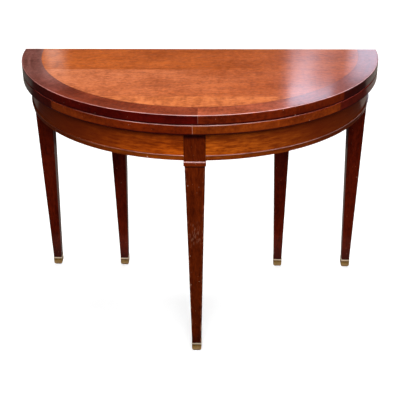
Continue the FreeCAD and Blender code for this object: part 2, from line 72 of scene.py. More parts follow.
# Sizes of the curved pieces, read off the frame where it gives them
BACK_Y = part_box("upper_rear_board")[1].y
CENTRE = Vector((0, BACK_Y, 0))
TOP_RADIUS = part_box("upper_rim_right_end")[1].x
RIM_WIDTH = 60 * MM
FIELD_RADIUS = TOP_RADIUS - RIM_WIDTH
ARRIS = 3 * MM
APRON_LOW, APRON_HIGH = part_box("apron_right")
APRON_RADIUS = math.hypot(APRON_HIGH.x, BACK_Y - APRON_HIGH.y)
APRON_HEIGHT = APRON_HIGH.z - APRON_LOW.z
APRON_THICKNESS = 22 * MM
BLOCK_WIDTH = 58 * MM
GLUE_LINE = 0.15 * MM
BAND_HEIGHT = 12 * MM
BAND_PROUD = 1.5 * MM
BEAD_Z = APRON_LOW.z + BAND_HEIGHT
BEAD_HEIGHT = 4 * MM
BEAD_PROUD = 4 * MM
BEAD_ROUND = 1.9 * MM
SWEEP_STEP = math.radians(1)
CORNER_STEPS = 5

# Sizes of the legs and their caps
FOOT_Z = 8 * MM
FOOT_WIDTH = 26 * MM
LEG_WIDTH = 55 * MM
LEG_ARRIS = 1.2 * MM
ARRIS_STEPS = 3
COLLAR_HEIGHT = 16 * MM
COLLAR_Z = APRON_LOW.z - COLLAR_HEIGHT
COLLAR_COVE = 2 * MM
COLLAR_PROUD = 1.2 * MM
QUIRK_HEIGHT = 2 * MM
QUIRK_DEPTH = 1.2 * MM
LIP_Z = APRON_LOW.z - QUIRK_HEIGHT
SABOT_WALL = 0.9 * MM
SABOT_TOE_HEIGHT = 7.5 * MM
SABOT_TOE_INSET = 4.5 * MM
SABOT_ARRIS = 1 * MM
RING_HEIGHT = 4.6 * MM
RING_PROUD = 0.4 * MM
RING_BEVEL = 1 * MM
GROOVE_HEIGHT = 2.6 * MM
GROOVE_DEPTH = 0.5 * MM
CAP_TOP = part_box("front_sabot")[1].z

# Sizes of the hinge screws; the slot's floor is a share of its mouth
SCREW_RADIUS = 3.2 * MM
SCREW_HEIGHT = 0.8 * MM
SCREW_PROUD = 0.1 * MM
SCREW_SPACING = 24 * MM
SCREW_INSET = 12 * MM
SCREW_SIDES = 20
SCREW_TURN = math.radians(67)
SLOT_WIDTH = 0.8 * MM
SLOT_DEPTH = 0.5 * MM
SLOT_FLOOR_SHARE = 0.8

# Allowances of the meshes, and the easing of the plain CAD pieces
MERGE = 0.001 * MM
CUT_SLACK = 0.0001 * MM
SMOOTH_LIMIT = math.radians(32)
HINGE_EASING = 0.2 * MM
BEECH_EASING = 0.8 * MM
EASING_STEPS = 2
EASED_LIMIT = math.radians(30)
FLAT_LIMIT = math.radians(0.3)

# Tones of the woods. All tones are given as they show on a screen, 0 to 255
TONES = {
    "apron_left": (158, 66, 8),
    "apron_right": (172, 80, 15),
    "moulding": (124, 52, 6),
    "leg": (85, 18, 3),
    "front_leg": (83, 24, 2),
    "beech": (176, 118, 72),
}

# Tones of a rim segment: its flat near the front joint and far from it, then its edge near and far
RIM_TONES = {
    "upper": {
        "left_end": ((103, 45, 34), (98, 56, 49), (64, 8, 3), (64, 8, 3)),
        "left": ((110, 45, 24), (98, 38, 22), (69, 5, 1), (69, 6, 1)),
        "right": ((142, 67, 40), (112, 51, 35), (94, 26, 3), (100, 29, 5)),
        "right_end": ((104, 46, 32), (104, 46, 32), (54, 7, 3), (54, 7, 3)),
    },
    "lower": {
        "left_end": ((103, 45, 34), (98, 56, 49), (58, 8, 3), (63, 8, 3)),
        "left": ((110, 45, 24), (98, 38, 22), (97, 27, 2), (118, 44, 9)),
        "right": ((142, 67, 40), (112, 51, 35), (115, 44, 6), (118, 44, 8)),
        "right_end": ((104, 46, 32), (104, 46, 32), (86, 19, 8), (86, 19, 8)),
    },
}

# Distances from the front joint between which a rim's near tones turn into its far ones
RIM_TURN = {
    "left_end": (0.45, 0.62),
    "left": (0.15, 0.42),
    "right": (0.1, 0.35),
    "right_end": (0.45, 0.62),
}

# Tones at the left and the right end of a field board
BOARD_TONES = {
    "rear_board": ((150, 72, 26), (141, 66, 26)),
    "middle_board": ((164, 90, 54), (136, 60, 19)),
    "front_board": ((171, 94, 52), (154, 79, 36)),
}

# Tones, strength and reach of wear, dirt, painted shade and painted highlights. Reaches along the rim and
# the apron are metres from the front, and shares are parts of the arris, of the apron's height or of the
# highlight
# Painted highlight: pale tone on the bead's crest, on the collar's lip and on the rims' upper arrises,
# where it is partly rubbed varnish too; on the rims it turns into end tones by leaf and side
WEAR_AND_HIGHLIGHT_TONE = (236, 186, 182)
WEAR_AND_HIGHLIGHT_END_TONES = {
    "upper": {"left": (200, 142, 134), "right": (226, 186, 190)},
    "lower": {"left": (140, 56, 46), "right": (158, 66, 60)},
}
WEAR_AND_HIGHLIGHT_TURN = (0.12, 0.36)
WEAR_AND_HIGHLIGHT_FIBRES = (0.35, 0.6)
HIGHLIGHT_LEAST_SHARE = 0.35
RIM_WEAR_AND_HIGHLIGHT = (0.4, 0.9)
SEAM_TONE = (186, 136, 122)
SEAM_WIDTH = 1.2 * MM
SEAM_REACH = 20 * MM
SEAM_STRENGTH = {"upper": 0.35, "lower": 0.8}
# Painted shade on the lower arris of each leaf, in the gap between the leaves and over the apron
GAP_SHADE_TONE = (50, 3, 4)
GAP_SHADE_STRENGTH = 0.9
GAP_SHADE_SHARES = (1.3, 2.0)
ARRIS_START_SHARE = 0.8
CREST_SHARES = (0.65, 0.45)
# Dark tone of the dirt just above the sabots, which is also the tone of the painted shade under the
# overhang at the top of the apron and of the front leg's block; that shade's depth and strength
DIRT_AND_SHADE_TONE = (30, 3, 4)
OVERHANG_SHADE_HEIGHT = 13 * MM
OVERHANG_SHADE_STRENGTH = 0.85
GRIME_HEIGHT = 50 * MM
GRIME_STRENGTH = 0.6
KNOCK_TONE = (206, 176, 160)
KNOCK_RANGE = (0.765, 0.785)
# Painted shade on the aprons: darker towards their tops under the leaf and towards their ends, where the
# light falls off
APRON_SHADE_TONE = (92, 28, 6)
APRON_END_SHADE_REACH = (0.06, 0.36)
APRON_END_SHADE_STRENGTH = 0.9
SHADOW_STRENGTH = 0.65
SHADOW_SHARES = (0.4, 0.9)
# Painted shade of the band and bead towards their ends
BAND_END_SHADE_TONE = (78, 22, 5)
BAND_END_SHADE_REACH = (0.12, 0.40)
BAND_END_SHADE_STRENGTH = 0.75
# Painted highlight along the bead's crest, weaker on the left
BEAD_HIGHLIGHT_REACH = (-0.4, -0.1)
BEAD_HIGHLIGHT_LEFT = 0.1
BEAD_HIGHLIGHT = 0.35
FLECK_TONE = (92, 40, 16)
FLECK_RANGE = (0.72, 0.80)
FLECK_STRENGTH = 0.7
# Collar painted lighter, as if lit from above
COLLAR_LIT_TONE = (140, 52, 14)
COLLAR_LIT_STRENGTH = 0.3
COLLAR_FADE = 1 * MM
# Painted highlight on the lip above the collar
LIP_HIGHLIGHT = 0.9
LIP_HIGHLIGHT_BELOW = 1.5 * MM
LIP_HIGHLIGHT_ABOVE = 0.5 * MM
LIP_FADE = 0.5 * MM
# Painted shadow under the collar
COLLAR_SHADOW_TONE = (34, 8, 4)
COLLAR_SHADOW_HEIGHT = 2.5 * MM
SCUFF_TONE = (176, 118, 92)
SCUFF_REACH = 5 * MM
SCUFF_LOW = 390 * MM
SCUFF_HIGH = 420 * MM
SCUFF_FADE = 35 * MM
SCUFF_WAIST = 0.35
SCUFF_RANGE = (0.52, 0.66)
SCUFF_STRENGTH = 0.7

# Tones of the brass by place: of its clouds, and of a cap from its toe to its rim
BRASS_TONES = ((0.3, (150, 98, 44)), (0.5, (216, 160, 84)), (0.75, (242, 204, 134)))
TARNISH_TONE = (60, 42, 22)
TARNISH_STRENGTH = 0.7
GROOVE_PLACE = (CAP_TOP - RING_HEIGHT - GROOVE_HEIGHT) / CAP_TOP
GROOVE_FADE = 0.10
RING_PLACE = (CAP_TOP - RING_HEIGHT) / CAP_TOP
RING_FADE = 0.03
CAP_BANDS = (
    (0.0, (150, 100, 76)),
    (0.14, (224, 174, 130)),
    (0.35, (210, 172, 116)),
    (GROOVE_PLACE - GROOVE_FADE, (140, 108, 60)),
    (GROOVE_PLACE, (40, 24, 12)),
    (RING_PLACE, (52, 34, 18)),
    # The ring's near-white tone is partly worn brass and partly a painted highlight
    (RING_PLACE + RING_FADE, (250, 240, 222)),
    (1.0, (236, 224, 204)),
)
CAP_BAND_STRENGTH = 0.7

# Patterns of the woods. Figure, fibre and flecks are repeats per metre along and across the grain, ripple
# and fleck strength say how much the cross figure and the flecks show, sway how far the grain wanders
Pattern = namedtuple("Pattern", "figure fibre ripple flecks fleck_strength sway")
PLAIN_PATTERN = Pattern((5, 22), (11, 120), 0.10, (60, 190), 2.4, 0.05)
FRONT_LEG_PATTERN = Pattern((5, 40), (11, 160), 0.10, (60, 190), 2.4, 0.05)
MOULDING_PATTERN = Pattern((5, 30), (11, 150), 0.10, (55, 85), 1.8, 0.05)
APRON_PATTERN = Pattern((2.2, 46), (7, 190), 0.12, (30, 185), 3.0, 0.012)
RIM_PATTERN = Pattern((8, 26), (14, 120), 0.25, (100, 100), 2.2, 0.05)
REAR_BOARD_PATTERN = Pattern((7, 16), (14, 110), 0.15, (45, 130), 2.4, 0.05)
BOARD_PATTERNS = {
    "rear_board": REAR_BOARD_PATTERN,
    "middle_board": REAR_BOARD_PATTERN._replace(ripple=0.20),
    "front_board": REAR_BOARD_PATTERN._replace(ripple=0.55),
}

# Where in its pattern each piece starts
RIM_SHIFTS = {
    "left_end": (0.2, 0.9, 0.1),
    "left": (1.7, 0.3, 0.4),
    "right": (3.1, 0.5, 0.8),
    "right_end": (5.3, 0.2, 0.6),
}
BOARD_SHIFTS = {
    "rear_board": (1.3, 0.45, 0.7),
    "middle_board": (2.1, 0.6, 0.2),
    "front_board": (4.4, 1.3, 0.5),
}
APRON_SHIFT = (0.6, 0.2, 1.4)
MOULDING_SHIFT = (2.6, 0.8, 0.3)
LEG_SHIFT = (0.1, 0.4, 0.9)
FRONT_LEG_SHIFT = (0.7, 0.9, 0.2)
BEECH_ACROSS_SHIFT = (0.5, 0.5, 0.5)
BEECH_DEEP_SHIFT = (1.5, 0.7, 0.9)

# Noises that all woods share and those of some finishes: repeats per metre along and across, and the ranges
# and strengths with which they show
NOISE_MIDDLE = 0.5
NOISE_RANGE = (0.3, 0.7)
WANDER = (2.5, 6)
CROSS_FIGURE = (48, 9)
PATCHES = (4, 9)
PORES = (26, 900)
PORE_RANGE = (0.60, 0.72)
PORE_SHADE = 0.35
BROAD_SHARE = 0.45
FINE_SHARE = 0.35
PATCH_SHARE = 0.20
LIGHT_RANGE = (0.36, 0.64)
MOTTLE = (120, 105)
MOTTLE_STRENGTH = 1.7
BOARD_DRIFT = (3, 7)
BOARD_DRIFT_REACH = 0.9
BOARD_TURN = (-0.35, 0.35)
DARK_FLECKS = (22, 75)
KNOCKS = (170, 170)
SCUFF_MARKS = (260, 260, 80)
BRASS_CLOUDS = (140, 140)
BRASS_SPECKS = (900, 900)
SPECK_RANGE = (0.6, 0.7)

# Ramp of a wood: place on it and share of the contrast, and how much faster green and blue fade than red
SHADE_STOPS = ((0.0, -1), (0.35, -0.25), (0.65, 0.25), (1.0, 1))
GREEN_FADE = 1.3
BLUE_FADE = 1.5

# Surfaces. A varnish is the weight of its gloss coat and the specular level of the wood under it
TOP_VARNISH = (0.7, 0.08)
APRON_VARNISH = (0.5, 0.05)
LEG_VARNISH = (0.4, 0.05)
NO_VARNISH = (0.0, 0.08)
VARNISH_ROUGHNESS = 0.11
WOOD_ROUGHNESS = (0.34, 0.48)
FIBRE_RELIEF = 0.4
GRAIN_RELIEF = 0.25
GRAIN_DEPTH = 0.15 * MM
BRASS_ROUGHNESS = (0.46, 0.3)
BRASS_METAL = 0.45
CAP_METAL = 0.3
BRASS_RELIEF = 0.15
BRASS_DEPTH = 0.1 * MM

# Stage: how bright the floor and the sky are to the camera, and to light and reflections
FLOOR_HALF = 40
FLOOR_SEEN = 0.5
FLOOR_GLOW = 0.6
FLOOR_REFLECTED = 0.015
FLOOR_ROUGHNESS = 0.9
SKY_SEEN = 0.95
SKY_REFLECTED = 0.015
WHITE = (1, 1, 1, 1)

# Tints of the lights, and steps in the size of a window's nested lights
PLAIN_LIGHT = (1, 1, 1)
DAYLIGHT = (0.72, 0.78, 1.0)
WARM_DAYLIGHT = (1.0, 0.86, 0.78)
FLOOR_LIGHT = (1.0, 0.86, 0.74)
WINDOW_STEPS = (0.55, 1.0, 1.45)
FAR_WINDOW_STEPS = (0.85, 1.0, 1.15)
WINDOW_GAP = 0.01
WINDOW_Y = 3.3
PATCH_Z = 0.02

# Camera, fitted to the edges, joints and feet of the table: place in metres, angles in degrees, lens in mm
CAMERA_PLACE = (0.07496, -2.28368, 1.59403)
CAMERA_HEADING = 1.8564
CAMERA_PITCH = 25.571
CAMERA_ROLL = -0.4584
CAMERA_LENS = 76.44
CAMERA_SENSOR = 36
CAMERA_SHIFT = (0.00446, -0.08995)


def tone(red, green, blue):
    """Linear colour of a shade given as it shows on a screen, 0 to 255."""
    def linear(level):
        share = level / 255
        return share / 12.92 if share <= 0.04045 else ((share + 0.055) / 1.055) ** 2.4
    return (linear(red), linear(green), linear(blue), 1)


class Finish:
    """Material whose nodes are added step by step."""

    def __init__(self, name):
        self.material = bpy.data.materials.new(name)
        self.material.use_nodes = True
        self.tree = self.material.node_tree
        self.shader = self.tree.nodes["Principled BSDF"]

    def put(self, socket, value):
        """Links a socket to another one or sets its value."""
        if isinstance(value, bpy.types.NodeSocket):
            self.tree.links.new(value, socket)
        else:
            socket.default_value = value

    def add(self, kind, inputs, **settings):
        """New node with its settings and inputs, which are named or numbered."""
        node = self.tree.nodes.new(kind)
        for key, value in settings.items():
            setattr(node, key, value)
        for key, value in inputs.items():
            self.put(node.inputs[key], value)
        return node

    def shade(self, **values):
        """Sets or links the shader's own sockets."""
        for key, value in values.items():
            self.put(self.shader.inputs[key.replace("_", " ")], value)

    def maths(self, operation, first, second=0.0, third=0.0):
        """Result of an operation on one, two or three values."""
        node = self.add("ShaderNodeMath", {0: first, 1: second, 2: third}, operation=operation)
        return node.outputs[0]

    def swing(self, value, noise, strength):
        """Value moved up and down by a noise about its middle."""
        return self.maths("MULTIPLY_ADD", self.maths("SUBTRACT", noise, NOISE_MIDDLE), strength, value)

    def stretched(self, vector, along, across, depth=None):
        """Vector scaled by repeats per metre along, across and, where that differs, in depth."""
        repeats = (along, across, across if depth is None else depth)
        return self.add("ShaderNodeVectorMath", {0: vector, 1: repeats}, operation="MULTIPLY").outputs[0]

    def shifted(self, vector, shift):
        """Vector moved by a fixed step."""
        return self.add("ShaderNodeVectorMath", {0: vector, 1: shift}, operation="ADD").outputs[0]

    def noise(self, vector, detail=3.0, roughness=0.5, distortion=0.0):
        """Soft noise from 0 to 1."""
        node = self.add("ShaderNodeTexNoise", {"Vector": vector, "Scale": 1.0, "Detail": detail,
                                               "Roughness": roughness, "Distortion": distortion})
        return node.outputs["Fac"]

    def ramp(self, factor, stops):
        """Colour that runs through stops, each a place and a colour."""
        node = self.add("ShaderNodeValToRGB", {"Fac": factor})
        elements = node.color_ramp.elements
        while len(elements) < len(stops):
            elements.new(1.0)
        for element, (place, colour) in zip(elements, stops):
            element.position = place
            element.color = colour
        return node.outputs["Color"]

    def level(self, factor, low, high, low_value=0.0, high_value=1.0):
        """Factor spread from one range to another, held at its ends."""
        node = self.add("ShaderNodeMapRange", {0: factor, 1: low, 2: high, 3: low_value, 4: high_value})
        return node.outputs[0]

    def between(self, value, low, high, soft):
        """1 where a value lies between two limits, fading over a soft edge on both sides."""
        rise = self.level(value, low - soft, low)
        return self.maths("MULTIPLY", rise, self.level(value, high, high + soft, 1.0, 0.0))

    def mix(self, factor, first, second):
        """Second colour laid over the first as far as a factor says."""
        node = self.add("ShaderNodeMix", {0: factor, 6: first, 7: second}, data_type="RGBA")
        return node.outputs[2]

    def bump(self, height, strength, depth):
        """Fine relief of the surface."""
        node = self.add("ShaderNodeBump", {"Height": height, "Strength": strength, "Distance": depth})
        self.shade(Normal=node.outputs["Normal"])

    def place(self):
        """Coordinates in the table's frame."""
        return self.add("ShaderNodeTexCoord", {}).outputs["Object"]

    def apart(self, vector):
        """The three parts of a vector."""
        return self.add("ShaderNodeSeparateXYZ", {0: vector}).outputs

    def together(self, x, y, z):
        """Vector of three parts."""
        return self.add("ShaderNodeCombineXYZ", {0: x, 1: y, 2: z}).outputs[0]


def grain_along_back(finish):
    """Grain parallel to the back edge."""
    return finish.place()


def grain_round(finish):
    """Grain that follows the curve of the rim and the apron: distance round, distance out, height."""
    x, y, z = finish.apart(finish.place())
    depth = finish.maths("SUBTRACT", BACK_Y, y)
    angle = finish.maths("ARCTAN2", x, depth)
    out = finish.maths("SQRT", finish.maths("ADD", finish.maths("MULTIPLY", x, x),
                                            finish.maths("MULTIPLY", depth, depth)))
    return finish.together(finish.maths("MULTIPLY", angle, TOP_RADIUS), out, z)


def grain_upright(finish):
    """Grain that runs up the legs."""
    x, y, z = finish.apart(finish.place())
    return finish.together(z, x, y)


def grain_front_to_back(finish):
    """Grain along the runners and guides."""
    x, y, z = finish.apart(finish.place())
    return finish.together(y, x, z)


def shades(base, contrast):
    """Ramp of a wood from dark to light. Its dark parts are redder and its light ones yellower."""
    red, green, blue, opaque = tone(*base)
    stops = []
    for place, change in SHADE_STOPS:
        share = 1 + change * contrast
        stops.append((place, (red * share, green * share ** GREEN_FADE, blue * share ** BLUE_FADE, opaque)))
    return stops


def figured(finish, grain, pattern):
    """How light a wood of a pattern is, and its fibres and pores alone."""
    along, across, depth = finish.apart(grain)
    wander = finish.noise(finish.stretched(grain, *WANDER), detail=2)
    wavy = finish.together(along, finish.maths("MULTIPLY_ADD", wander, pattern.sway, across), depth)
    broad = finish.noise(finish.stretched(wavy, *pattern.figure), detail=5, distortion=0.5)
    fine = finish.noise(finish.stretched(wavy, *pattern.fibre), detail=5, roughness=0.65)
    cross = finish.noise(finish.stretched(wavy, *CROSS_FIGURE), detail=2)
    patches = finish.noise(finish.stretched(grain, *PATCHES), detail=2)
    light = finish.maths("MULTIPLY_ADD", broad, BROAD_SHARE, finish.maths("MULTIPLY", fine, FINE_SHARE))
    light = finish.maths("MULTIPLY_ADD", patches, PATCH_SHARE, light)
    light = finish.level(finish.swing(light, cross, pattern.ripple), *LIGHT_RANGE)
    flecks = finish.noise(finish.stretched(wavy, *pattern.flecks), detail=4, roughness=0.65)
    light = finish.swing(light, flecks, pattern.fleck_strength)
    dashes = finish.noise(finish.stretched(wavy, *PORES), detail=2)
    return light, fine, finish.level(dashes, *PORE_RANGE)


def varnished(finish, colour, fine, pore, varnish):
    """Shader of a varnished wood: its colour, open grain and a thin gloss coat."""
    coat, specular = varnish
    relief = finish.maths("SUBTRACT", finish.maths("MULTIPLY", fine, FIBRE_RELIEF), pore)
    finish.bump(relief, GRAIN_RELIEF, GRAIN_DEPTH)
    finish.shade(Base_Color=colour, Roughness=finish.level(fine, *NOISE_RANGE, *WOOD_ROUGHNESS))
    finish.shade(Specular_IOR_Level=specular, Coat_Weight=coat, Coat_Roughness=VARNISH_ROUGHNESS)
    return finish.material


def darkened(finish, colour, pore, base, amount):
    """Colour with dark open pores."""
    dark = tone(*[level * PORE_SHADE for level in base])
    return finish.mix(finish.maths("MULTIPLY", pore, amount), colour, dark)


def knocked(finish, colour, amount):
    """Colour with a few small pale knocks."""
    knocks = finish.noise(finish.stretched(finish.place(), *KNOCKS), detail=1)
    return finish.mix(finish.level(knocks, *KNOCK_RANGE, 0.0, amount), colour, tone(*KNOCK_TONE))


def highlighted(finish, colour, zone, fine, amount):
    """Colour with a painted highlight in a zone, broken up by the fibres."""
    highlight = finish.level(fine, *WEAR_AND_HIGHLIGHT_FIBRES, HIGHLIGHT_LEAST_SHARE * amount, amount)
    return finish.mix(finish.maths("MULTIPLY", zone, highlight), colour, tone(*WEAR_AND_HIGHLIGHT_TONE))


def grimy(finish, colour):
    """Colour gone dark just above a sabot."""
    _, _, height = finish.apart(finish.place())
    grime = finish.level(height, CAP_TOP, CAP_TOP + GRIME_HEIGHT, GRIME_STRENGTH, 0.0)
    return finish.mix(grime, colour, tone(*DIRT_AND_SHADE_TONE))


def beech_wood(name, run, shift):
    """Plain unvarnished wood of the hidden frame."""
    finish = Finish(name)
    base = TONES["beech"]
    light, fine, pore = figured(finish, finish.shifted(run(finish), shift), PLAIN_PATTERN)
    colour = darkened(finish, finish.ramp(light, shades(base, contrast=0.2)), pore, base, amount=0.4)
    return varnished(finish, colour, fine, pore, NO_VARNISH)


def leg_wood(name):
    """Wood of the rear legs, dark above the sabots and knocked."""
    finish = Finish(name)
    base = TONES["leg"]
    light, fine, pore = figured(finish, finish.shifted(grain_upright(finish), LEG_SHIFT), PLAIN_PATTERN)
    colour = darkened(finish, finish.ramp(light, shades(base, contrast=0.45)), pore, base, amount=0.4)
    colour = knocked(finish, grimy(finish, colour), amount=0.35)
    return varnished(finish, colour, fine, pore, LEG_VARNISH)


def board_wood(board):
    """Wood of a field board: a tone that turns from its left to its right end, mottled and flecked."""
    finish = Finish(f"cherry_{board.split('_')[0]}")
    left_base, right_base = BOARD_TONES[board]
    shift = BOARD_SHIFTS[board]
    place = finish.place()
    light, fine, pore = figured(finish, finish.shifted(place, shift), BOARD_PATTERNS[board])
    mottle = finish.noise(finish.shifted(finish.stretched(place, *MOTTLE), shift), roughness=0.6)
    light = finish.swing(light, mottle, MOTTLE_STRENGTH)
    x, _, _ = finish.apart(place)
    drift = finish.noise(finish.shifted(finish.stretched(place, *BOARD_DRIFT), shift))
    turn = finish.level(finish.swing(x, drift, BOARD_DRIFT_REACH), *BOARD_TURN)
    left = finish.ramp(light, shades(left_base, contrast=0.3))
    right = finish.ramp(light, shades(right_base, contrast=0.3))
    colour = finish.mix(turn, left, right)
    flecks = finish.noise(finish.shifted(finish.stretched(place, *DARK_FLECKS), shift), detail=1)
    colour = finish.mix(finish.level(flecks, *FLECK_RANGE, 0.0, FLECK_STRENGTH), colour, tone(*FLECK_TONE))
    colour = darkened(finish, colour, pore, right_base, amount=0.3)
    return varnished(finish, colour, fine, pore, TOP_VARNISH)


def rim_wood(leaf, place, seam, low_z, high_z):
    """Wood of a rim segment: tones of its flat and its edge that turn with the distance from the front
    joint, a glue line at that joint, painted shade on the lower arris and on the upper one a painted
    highlight that is partly rubbed varnish."""
    finish = Finish(f"mahogany_{leaf}_{place}")
    run = grain_round(finish)
    along, out, height = finish.apart(run)
    light, fine, pore = figured(finish, finish.shifted(run, RIM_SHIFTS[place]), RIM_PATTERN)
    near_flat, far_flat, near_edge, far_edge = RIM_TONES[leaf][place]
    gap = finish.maths("ABSOLUTE", finish.maths("SUBTRACT", along, seam * TOP_RADIUS))
    away = finish.level(gap, *RIM_TURN[place])
    flat = finish.mix(away, finish.ramp(light, shades(near_flat, contrast=0.45)),
                      finish.ramp(light, shades(far_flat, contrast=0.4)))
    edge = finish.mix(away, finish.ramp(light, shades(near_edge, contrast=0.4)),
                      finish.ramp(light, shades(far_edge, contrast=0.4)))
    colour = finish.mix(finish.level(out, TOP_RADIUS - ARRIS, TOP_RADIUS - ARRIS / 3), flat, edge)
    colour = darkened(finish, colour, pore, near_edge, amount=0.4)
    glue = finish.level(gap, SEAM_WIDTH / 4, SEAM_WIDTH / 2, SEAM_STRENGTH[leaf], 0.0)
    reach = finish.level(out, TOP_RADIUS - SEAM_REACH, TOP_RADIUS - SEAM_REACH / 2)
    colour = finish.mix(finish.maths("MULTIPLY", glue, reach), colour, tone(*SEAM_TONE))
    # Painted shade on the lower arris, where the leaf sits on the one below or overhangs the apron
    rounded = finish.level(out, TOP_RADIUS - ARRIS, TOP_RADIUS - ARRIS_START_SHARE * ARRIS)
    shade_low, shade_high = (low_z + share * ARRIS for share in GAP_SHADE_SHARES)
    below = finish.level(height, shade_low, shade_high, GAP_SHADE_STRENGTH, 0.0)
    colour = finish.mix(finish.maths("MULTIPLY", rounded, below), colour, tone(*GAP_SHADE_TONE))
    # Painted highlight along the upper arris, partly rubbed varnish, broken up by the fibres and turning
    # into the end tone away from the front joint
    crest_in, crest_out = (TOP_RADIUS - share * ARRIS for share in CREST_SHARES)
    crest = finish.between(out, crest_in, crest_out, ARRIS / 5)
    above = finish.level(height, high_z - ARRIS, high_z - ARRIS_START_SHARE * ARRIS)
    crest = finish.maths("MULTIPLY", crest, above)
    worn_and_highlit = finish.maths("MULTIPLY", crest, finish.level(fine, *WEAR_AND_HIGHLIGHT_FIBRES, *RIM_WEAR_AND_HIGHLIGHT))
    end_tone = WEAR_AND_HIGHLIGHT_END_TONES[leaf][place.split("_")[0]]
    pale = finish.mix(finish.level(gap, *WEAR_AND_HIGHLIGHT_TURN), tone(*WEAR_AND_HIGHLIGHT_TONE), tone(*end_tone))
    colour = finish.mix(worn_and_highlit, colour, pale)
    return varnished(finish, knocked(finish, colour, amount=0.4), fine, pore, TOP_VARNISH)


def apron_wood(name, base):
    """Wood of the aprons: long streaks, with painted shade under the leaf, darkest at the top, and towards
    the ends.
    """
    finish = Finish(name)
    run = grain_round(finish)
    along, _, height = finish.apart(run)
    light, fine, pore = figured(finish, finish.shifted(run, APRON_SHIFT), APRON_PATTERN)
    colour = darkened(finish, finish.ramp(light, shades(base, contrast=0.5)), pore, base, amount=0.5)
    # Painted shade, darker towards the top under the leaf
    shadow_low, shadow_high = (APRON_LOW.z + share * APRON_HEIGHT for share in SHADOW_SHARES)
    shadow = finish.level(height, shadow_low, shadow_high, 0.0, SHADOW_STRENGTH)
    colour = finish.mix(shadow, colour, tone(*APRON_SHADE_TONE))
    # Painted shade towards the ends, where the light falls off
    ends = finish.level(finish.maths("ABSOLUTE", along), *APRON_END_SHADE_REACH, 0.0, APRON_END_SHADE_STRENGTH)
    colour = finish.mix(ends, colour, tone(*APRON_SHADE_TONE))
    # Painted shade in the top strip, under the overhang of the leaves
    corner_low = APRON_HIGH.z - OVERHANG_SHADE_HEIGHT
    corner_high = APRON_HIGH.z - OVERHANG_SHADE_HEIGHT / 3
    corner = finish.level(height, corner_low, corner_high, 0.0, OVERHANG_SHADE_STRENGTH)
    colour = finish.mix(corner, colour, tone(*DIRT_AND_SHADE_TONE))
    return varnished(finish, colour, fine, pore, APRON_VARNISH)


def moulding_wood(name):
    """Wood of the band and bead, with painted shade towards the ends and a painted highlight along the
    crest of the bead.
    """
    finish = Finish(name)
    base = TONES["moulding"]
    run = grain_round(finish)
    along, out, height = finish.apart(run)
    light, fine, pore = figured(finish, finish.shifted(run, MOULDING_SHIFT), MOULDING_PATTERN)
    colour = darkened(finish, finish.ramp(light, shades(base, contrast=0.4)), pore, base, amount=0.4)
    # Painted shade towards the ends
    ends = finish.level(finish.maths("ABSOLUTE", along), *BAND_END_SHADE_REACH, 0.0, BAND_END_SHADE_STRENGTH)
    colour = finish.mix(ends, colour, tone(*BAND_END_SHADE_TONE))
    # Painted highlight along the crest of the bead, weaker on the left
    bead_top = BEAD_Z + BEAD_HEIGHT
    crest = finish.between(height, bead_top - BEAD_ROUND, bead_top - BEAD_ROUND / 4, BEAD_ROUND / 3)
    proud = finish.level(out, APRON_RADIUS + BAND_PROUD, APRON_RADIUS + BEAD_PROUD)
    right = finish.level(along, *BEAD_HIGHLIGHT_REACH, BEAD_HIGHLIGHT_LEFT, 1.0)
    worn_and_highlit = finish.maths("MULTIPLY", finish.maths("MULTIPLY", crest, proud), right)
    colour = knocked(finish, highlighted(finish, colour, worn_and_highlit, fine, BEAD_HIGHLIGHT), amount=0.7)
    return varnished(finish, colour, fine, pore, APRON_VARNISH)


def scuffs(finish):
    """Scuffs of the front leg, along its arrises and half-way up."""
    place = finish.place()
    x, y, z = finish.apart(place)
    middle_x, middle_y = leg_axis("front_leg")
    half = finish.level(z, FOOT_Z, COLLAR_Z, FOOT_WIDTH / 2, LEG_WIDTH / 2)

    def inset(part, middle):
        """Depth behind the leg's faces on one axis."""
        off = finish.maths("ABSOLUTE", finish.maths("SUBTRACT", part, middle))
        return finish.maths("SUBTRACT", half, off)

    deeper = finish.maths("MAXIMUM", inset(x, middle_x), inset(y, middle_y))
    arris = finish.level(deeper, LEG_ARRIS, SCUFF_REACH, 1.0, 0.0)
    waist = finish.maths("MULTIPLY", finish.between(z, SCUFF_LOW, SCUFF_HIGH, SCUFF_FADE), SCUFF_WAIST)
    marks = finish.noise(finish.stretched(place, *SCUFF_MARKS))
    marks = finish.level(marks, *SCUFF_RANGE, 0.0, SCUFF_STRENGTH)
    below = finish.level(z, COLLAR_Z - SCUFF_REACH, COLLAR_Z, 1.0, 0.0)
    marked = finish.maths("MULTIPLY", finish.maths("MAXIMUM", arris, waist), marks)
    return finish.maths("MULTIPLY", marked, below)


